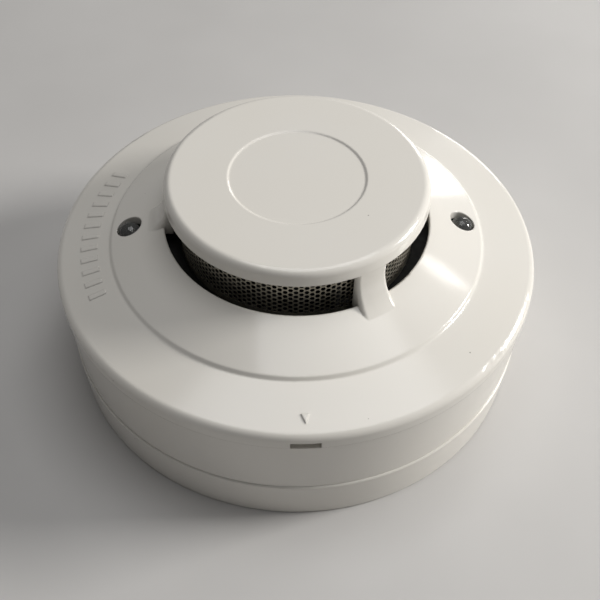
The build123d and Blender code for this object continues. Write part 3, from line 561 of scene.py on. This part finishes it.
def add_arc(mesh, inner, outer, start, end, low, high):
    """Add a flat curved strip between two radii and two angles in degrees."""
    steps = max(2, round((end - start) / ARC_STEP))
    cuts = []
    for index in range(steps + 1):
        angle = math.radians(start + (end - start) * index / steps)
        corners = ((inner, low), (outer, low), (outer, high), (inner, high))
        cuts.append([mesh.verts.new((r * math.cos(angle), r * math.sin(angle), z)) for r, z in corners])
    for first, second in zip(cuts, cuts[1:]):
        for index in range(4):
            other = (index + 1) % 4
            mesh.faces.new((first[index], first[other], second[other], second[index]))
    mesh.faces.new(cuts[0][::-1])
    mesh.faces.new(cuts[-1])


def add_box(mesh, centre, size, bevel=0.0):
    """Add a box to a bmesh, its edges bevelled where a width is given."""
    start = len(mesh.verts)
    corners = bmesh.ops.create_cube(mesh, size=1.0)["verts"]
    bmesh.ops.scale(mesh, verts=corners, vec=size)
    bmesh.ops.translate(mesh, verts=corners, vec=centre)
    if bevel:
        edges = list({edge for vertex in corners for edge in vertex.link_edges})
        bmesh.ops.bevel(
            mesh,
            geom=edges,
            offset=bevel,
            segments=BOX_BEVEL_SEGMENTS,
            affect="EDGES",
            profile=BOX_BEVEL_PROFILE,
        )
    mesh.verts.ensure_lookup_table()
    return mesh.verts[start:]


def finish_mesh(name, mesh, body, material, smooth=False):
    """Turn every face outwards and make the piece."""
    bmesh.ops.recalc_face_normals(mesh, faces=mesh.faces)
    return new_piece(name, mesh, body, material, smooth=smooth)


class SolidPlace:
    """Where one solid on the round board lies: its centre, its radial and tangential directions."""

    def __init__(self, points):
        middle = sum(points, Vector()) / len(points)
        self.out = Vector((middle.x, middle.y, 0.0)).normalized()
        self.along = Vector((-self.out.y, self.out.x, 0.0))
        outs = [point.dot(self.out) for point in points]
        alongs = [point.dot(self.along) for point in points]
        self.low = min(point.z for point in points)
        self.high = max(point.z for point in points)
        self.width = max(outs) - min(outs)
        self.length = max(alongs) - min(alongs)
        across = (max(outs) + min(outs)) / 2
        beside = (max(alongs) + min(alongs)) / 2
        self.centre = self.out * across + self.along * beside

    def at(self, out, along, height):
        """A point beside the centre, at a height above the origin."""
        spot = self.centre + self.out * out + self.along * along
        return Vector((spot.x, spot.y, height))


def solids_of(name):
    """The place of each separate solid of a CAD node."""
    mesh = bmesh.new()
    mesh.from_mesh(nodes[name].data)
    bmesh.ops.remove_doubles(mesh, verts=mesh.verts, dist=SOLID_WELD)
    seen = set()
    found = []
    for first in mesh.verts:
        if first in seen:
            continue
        seen.add(first)
        stack = [first]
        points = []
        while stack:
            vertex = stack.pop()
            points.append(vertex.co.copy())
            for edge in vertex.link_edges:
                other = edge.other_vert(vertex)
                if other not in seen:
                    seen.add(other)
                    stack.append(other)
        found.append(SolidPlace(points))
    mesh.free()
    return found


# ========================================================== insect screen
def screen_columns():
    """Columns of holes round the screen: an even number, so that staggered rows meet."""
    column_pitch = HOLE_PITCH * math.sqrt(3) / 2
    return 2 * round(math.pi * SCREEN_RADIUS / column_pitch)


def build_screen():
    """Honeycomb strip rolled into a ring, leaving room for a plain hem at each edge."""
    mesh = bmesh.new()
    columns = screen_columns()
    turn = 2 * math.pi / columns
    side = HOLE_PITCH / math.sqrt(3)
    shrink = HOLE_FLATS / HOLE_PITCH
    low = SCREEN_LOW.z + HEM_HEIGHT
    rows = int((SCREEN_HIGH.z - HEM_HEIGHT - low) / HOLE_PITCH)
    for column in range(columns):
        for row in range(rows):
            height = low + (row + 0.5 + 0.5 * (column % 2)) * HOLE_PITCH
            outer = []
            inner = []
            for corner in range(6):
                spoke = math.radians(60 * corner)
                across = side * math.cos(spoke)
                rise = side * math.sin(spoke)
                for ring, size in ((outer, 1.0), (inner, shrink)):
                    # One column is one and a half cell sides wide.
                    angle = column * turn + across * size / side * turn * 2 / 3
                    x = SCREEN_RADIUS * math.cos(angle)
                    y = SCREEN_RADIUS * math.sin(angle)
                    ring.append(mesh.verts.new((x, y, height + rise * size)))
            for corner in range(6):
                following = (corner + 1) % 6
                mesh.faces.new((outer[corner], outer[following], inner[following], inner[corner]))
    bmesh.ops.remove_doubles(mesh, verts=mesh.verts, dist=SCREEN_WELD)
    piece = finish_mesh("screen_mesh", mesh, "head", screen_steel)
    thicken = piece.modifiers.new("thickness", "SOLIDIFY")
    thicken.thickness = SCREEN_THICKNESS
    thicken.offset = -1.0
    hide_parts("insect_screen")


def build_hems():
    """Plain bands at the top and bottom of the screen."""
    mesh = bmesh.new()
    inner = SCREEN_RADIUS - HEM_THICKNESS
    for low in (SCREEN_LOW.z, SCREEN_HIGH.z - HEM_BAND):
        high = low + HEM_BAND
        profile = [(SCREEN_RADIUS, low), (SCREEN_RADIUS, high), (inner, high), (inner, low)]
        add_lathe(mesh, profile, HEM_SEGMENTS)
    finish_mesh("screen_hems", mesh, "head", screen_steel)


# ========================================================= board details
def band_profile(radius, width):
    """Section of a thin painted band round a body, rounded into it."""
    half = width / 2
    crown = half - BAND_PROUD
    low = radius - BAND_SUNK
    high = radius + BAND_PROUD
    return [(low, -half), (high, -crown), (high, crown), (low, half)]


def build_resistor_bands():
    """Four plain colour bands on each resistor, in a seeded mix of colours."""
    order = random.Random(4)
    meshes = {name: bmesh.new() for name in BAND_COLOURS}
    for solid in solids_of("resistors"):
        radius = solid.width / 2
        bands = [(offset, order.choice(VALUE_BAND_COLOURS)) for offset in VALUE_BAND_OFFSETS]
        bands.append((TOLERANCE_BAND_OFFSET, "gold"))
        for offset, name in bands:
            place = solid.at(0.0, offset, solid.high - radius)
            place_ring(meshes[name], band_profile(radius, RESISTOR_BAND_WIDTH), place, solid.along)
    for name, mesh in meshes.items():
        material = BAND_COLOURS[name]
        finish_mesh("resistor_bands_" + name, mesh, "head", material, smooth=True)


def build_diode_bands():
    """Pale band at one end of each rectifier diode."""
    mesh = bmesh.new()
    for solid in solids_of("rectifier_diodes"):
        radius = solid.width / 2
        place = solid.at(0.0, DIODE_BAND_OFFSET, solid.high - radius)
        place_ring(mesh, band_profile(radius, DIODE_BAND_WIDTH), place, solid.along)
    finish_mesh("diode_bands", mesh, "head", band_silver, smooth=True)


def build_can_tops():
    """Bare aluminium top, black bars as painted shade for the pressed score lines, and polarity stripe
    for each can.
    """
    tops = bmesh.new()
    score_shade = bmesh.new()
    stripes = bmesh.new()
    for name in ("large_capacitor", "small_capacitors"):
        for solid in solids_of(name):
            radius = solid.width / 2
            top = solid.at(0.0, 0.0, solid.high)
            proud = CAN_TOP_PROUD
            inset = CAN_TOP_SHARE * radius
            disc = [(0.0, -proud), (inset + proud, -proud), (inset, proud), (0.0, proud)]
            place_ring(tops, disc, top, UP, closed=False)
            # Each score line is a black bar: painted shade in place of a pressed groove.
            for turn in SCORE_TURNS:
                angle = math.radians(turn)
                bar = add_box(score_shade, (0, 0, 0), (SCORE_SHARE * inset, SCORE_WIDTH, SCORE_HEIGHT))
                place = Matrix.Translation(top + UP * proud) @ Matrix.Rotation(angle, 4, "Z")
                bmesh.ops.transform(score_shade, matrix=place, verts=bar)
            start = len(stripes.verts)
            sunk = radius - STRIPE_SUNK
            face = radius + STRIPE_PROUD
            stripe_top = solid.high - solid.low - STRIPE_TOP_GAP
            half = STRIPE_HALF_ANGLE
            add_arc(stripes, sunk, face, -half, half, STRIPE_FOOT, stripe_top)
            stripes.verts.ensure_lookup_table()
            foot = Matrix.Translation(Vector((top.x, top.y, solid.low)))
            place = foot @ Matrix.Rotation(STRIPE_TURN, 4, "Z")
            bmesh.ops.transform(stripes, matrix=place, verts=stripes.verts[start:])
    finish_mesh("can_tops", tops, "head", aluminium)
    finish_mesh("can_score_shade", score_shade, "head", chip_black)
    finish_mesh("can_stripes", stripes, "head", stripe_grey)


def build_solder():
    """Solder cone with a rounded foot round every post, LED leg and thermistor leg."""
    mesh = bmesh.new()
    spots = [solid.at(0.0, 0.0, 0.0) for solid in solids_of("contact_posts")]
    sizes = [POST_SOLDER_RADIUS] * len(spots)
    for name in ("alarm_led_left", "alarm_led_right"):
        for solid in solids_of(name):
            for side in (-1, 1):
                spots.append(solid.at(0.0, side * LED_LEG_SPACING / 2, 0.0))
                sizes.append(LED_SOLDER_RADIUS)
    low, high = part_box("thermistor")
    for x in (low.x + THERMISTOR_LEG_INSET, high.x - THERMISTOR_LEG_INSET):
        spots.append(Vector((x, (low.y + high.y) / 2, 0.0)))
        sizes.append(THERMISTOR_SOLDER_RADIUS)
    for spot, size in zip(spots, sizes):
        cone = section(SOLDER_SECTION, radius=size)
        foot = Vector((spot.x, spot.y, BOARD_TOP))
        place_ring(mesh, cone, foot, UP, segments=SOLDER_SEGMENTS)
    finish_mesh("solder_joints", mesh, "head", solder, smooth=True)


def build_tracks():
    """Copper tracks under the solder mask: arcs, radial jogs and round test pads."""
    order = random.Random(11)
    mesh = bmesh.new()
    pads = bmesh.new()
    low = BOARD_TOP - TRACK_SUNK
    high = BOARD_TOP + TRACK_PROUD
    pad = section(PAD_SECTION)
    for lane in range(TRACK_LANES):
        radius = (TRACK_FIRST_RADIUS + TRACK_LANE_PITCH * lane) * MM
        angle = order.uniform(*TRACK_FIRST_START)
        while angle < TRACK_LAST_START:
            span = order.uniform(*TRACK_SPAN)
            end = min(angle + span, TRACK_LAST_END)
            width = order.choice(TRACK_WIDTHS) * MM
            add_arc(mesh, radius - width / 2, radius + width / 2, angle, end, low, high)
            half = math.degrees(width / radius) / 2
            add_arc(mesh, radius, radius + TRACK_LANE_PITCH * MM, end - 2 * half, end, low, high)
            if order.random() < PAD_CHANCE:
                spot = math.radians(angle)
                centre = Vector((radius * math.cos(spot), radius * math.sin(spot), BOARD_TOP))
                place_ring(pads, pad, centre, UP, segments=PAD_SEGMENTS)
            angle = end + order.uniform(*TRACK_GAP)
    finish_mesh("board_tracks", mesh, "head", mask_over_copper)
    finish_mesh("board_pads", pads, "head", solder)


def build_chip_dots():
    """Moulded dimple that marks the first leg of each chip."""
    mesh = bmesh.new()
    for name in ("controller_chip", "amplifier_chip"):
        solid = solids_of(name)[0]
        place = solid.at(CHIP_DOT_OUT, solid.length / 2 - CHIP_DOT_INSET, solid.high)
        dot = section(CHIP_DOT_SECTION)
        place_ring(mesh, dot, place, UP, segments=CHIP_DOT_SEGMENTS, closed=False)
    finish_mesh("chip_dots", mesh, "head", dimple_grey)


def build_label_print():
    """Plain ring and plain bars on the blank label: a layout with nothing written in it."""
    mesh = bmesh.new()
    low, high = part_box("rating_label")
    under = low.z - INK_HEIGHT / 2
    over = low.z + INK_HEIGHT / 2
    inner = high.x - LABEL_RING_INNER_INSET
    outer = high.x - LABEL_RING_OUTER_INSET
    add_arc(mesh, inner, outer, 0, 360, under, over)
    for index, length in enumerate(LABEL_BAR_LENGTHS):
        rise = (LABEL_FIRST_BAR - LABEL_BAR_PITCH * index) * MM
        add_box(mesh, (0.0, rise, low.z), (length * MM, LABEL_BAR_WIDTH, INK_HEIGHT))
    finish_mesh("label_print", mesh, "head", print_grey)


# ============================================================= alarm LEDs
def build_led(side):
    """Clear LED body with its lead frame inside, in place of the plain CAD one."""
    node = "alarm_led_" + side
    low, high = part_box(node)
    centre = ((low.x + high.x) / 2, (low.y + high.y) / 2)
    foot = high.z - LED_HEIGHT
    flange = (high.x - low.x) / 2
    rim = flange - LED_FLANGE_EDGE
    flange_top = foot + LED_FLANGE_HEIGHT
    profile = [(0.0, foot), (rim, foot), (flange, foot + LED_FLANGE_EDGE)]
    profile += [(flange, flange_top - LED_FLANGE_EDGE), (rim, flange_top)]
    profile += [(LED_RADIUS, foot + LED_BARREL_FOOT), (LED_RADIUS, foot + LED_BARREL_LOW)]
    dome_low = high.z - LED_RADIUS
    for index in range(LED_DOME_STEPS + 1):
        angle = math.pi / 2 * index / LED_DOME_STEPS
        across = LED_RADIUS * math.cos(angle) if index < LED_DOME_STEPS else 0.0
        profile.append((across, dome_low + LED_RADIUS * math.sin(angle)))
    mesh = bmesh.new()
    add_lathe(mesh, profile, LED_SEGMENTS, centre, closed=False)
    lens = finish_mesh("led_lens_" + side, mesh, "head", epoxy, smooth=True)
    build_lead_frame(side, centre, foot, low.z)
    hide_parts(node)


def build_lead_frame(side, centre, foot, leg_end):
    """Anvil with a reflector cup, post and the two legs, which run down out of the body."""
    mesh = bmesh.new()
    leg = LED_LEG_WIDTH
    x, y = centre
    length = foot + LED_LEG_TOP - leg_end
    for offset in (-LED_LEG_SPACING / 2, LED_LEG_SPACING / 2):
        add_box(mesh, (x, y + offset, leg_end + length / 2), (leg, leg, length), LED_LEG_EDGE)
    for (beside, above), (width, height) in LED_FRAME_BLOCKS:
        place = (x, y + beside * MM, foot + above * MM)
        add_box(mesh, place, (leg, width * MM, height * MM), LED_FRAME_EDGE)
    cup = section(LED_CUP_SECTION, height=foot + LED_CUP_RISE)
    add_lathe(mesh, cup, LED_CUP_SEGMENTS, (x, y + LED_CUP_OFFSET), closed=False)
    finish_mesh("led_frame_" + side, mesh, "head", tin)


# ================================================================== stage
def build_floor():
    """Flat floor under the detector."""
    mesh = bmesh.new()
    bmesh.ops.create_grid(mesh, x_segments=FLOOR_CELLS, y_segments=FLOOR_CELLS, size=FLOOR_SIZE)
    data = bpy.data.meshes.new("floor")
    mesh.to_mesh(data)
    mesh.free()
    floor = bpy.data.objects.new("floor", data)
    floor.data.materials.append(floor_material())
    floor.location.z = FLOOR_LEVEL
    bpy.context.scene.collection.objects.link(floor)


def add_softbox(name, place, size, power, colour):
    """Add a rectangular lamp that points at the detector."""
    lamp = bpy.data.lights.new(name, "AREA")
    lamp.shape = "RECTANGLE"
    lamp.size, lamp.size_y = size
    lamp.energy = power
    lamp.color = colour
    holder = bpy.data.objects.new(name, lamp)
    bpy.context.scene.collection.objects.link(holder)
    holder.location = place
    sight = Vector(LIGHT_TARGET) - Vector(place)
    holder.rotation_euler = sight.to_track_quat("-Z", "Y").to_euler()


def build_lights():
    """Soft key from the right, two window-like lights that the glossy cone mirrors, and a top light."""
    world = bpy.data.worlds.new("studio")
    world.use_nodes = True
    background = world.node_tree.nodes["Background"]
    background.inputs["Color"].default_value = WORLD_COLOUR
    background.inputs["Strength"].default_value = WORLD_STRENGTH
    bpy.context.scene.world = world
    for softbox in SOFTBOXES:
        add_softbox(*softbox)


def build_camera():
    """Camera at the angle that the alignment mark, the rims and the cap are seen from."""
    right = Vector((1.0, 0.0, 0.0))
    back = Vector((0.0, -math.cos(CAMERA_ELEVATION), math.sin(CAMERA_ELEVATION)))
    up = back.cross(right)
    camera_x = right * math.cos(CAMERA_ROLL) + up * math.sin(CAMERA_ROLL)
    camera_y = up * math.cos(CAMERA_ROLL) - right * math.sin(CAMERA_ROLL)
    axes = Matrix((camera_x, camera_y, back)).transposed()
    turn = Matrix.Rotation(CAMERA_TURN, 4, "Z")
    place = Matrix.Translation(CAMERA_TARGET + back * CAMERA_DISTANCE)
    data = bpy.data.cameras.new("camera")
    data.lens = CAMERA_LENS
    data.sensor_width = CAMERA_SENSOR
    data.clip_start = CAMERA_CLIP
    camera = bpy.data.objects.new("camera", data)
    camera.matrix_world = turn @ place @ axes.to_4x4()
    bpy.context.scene.collection.objects.link(camera)
    bpy.context.scene.camera = camera


build_camera()
build_floor()
build_lights()
finish_cad_nodes()
build_screen()
build_hems()
for led_side in ("left", "right"):
    build_led(led_side)
build_resistor_bands()
build_diode_bands()
build_can_tops()
build_solder()
build_tracks()
build_chip_dots()
build_label_print()
bpy.context.scene.view_settings.view_transform = "Standard"
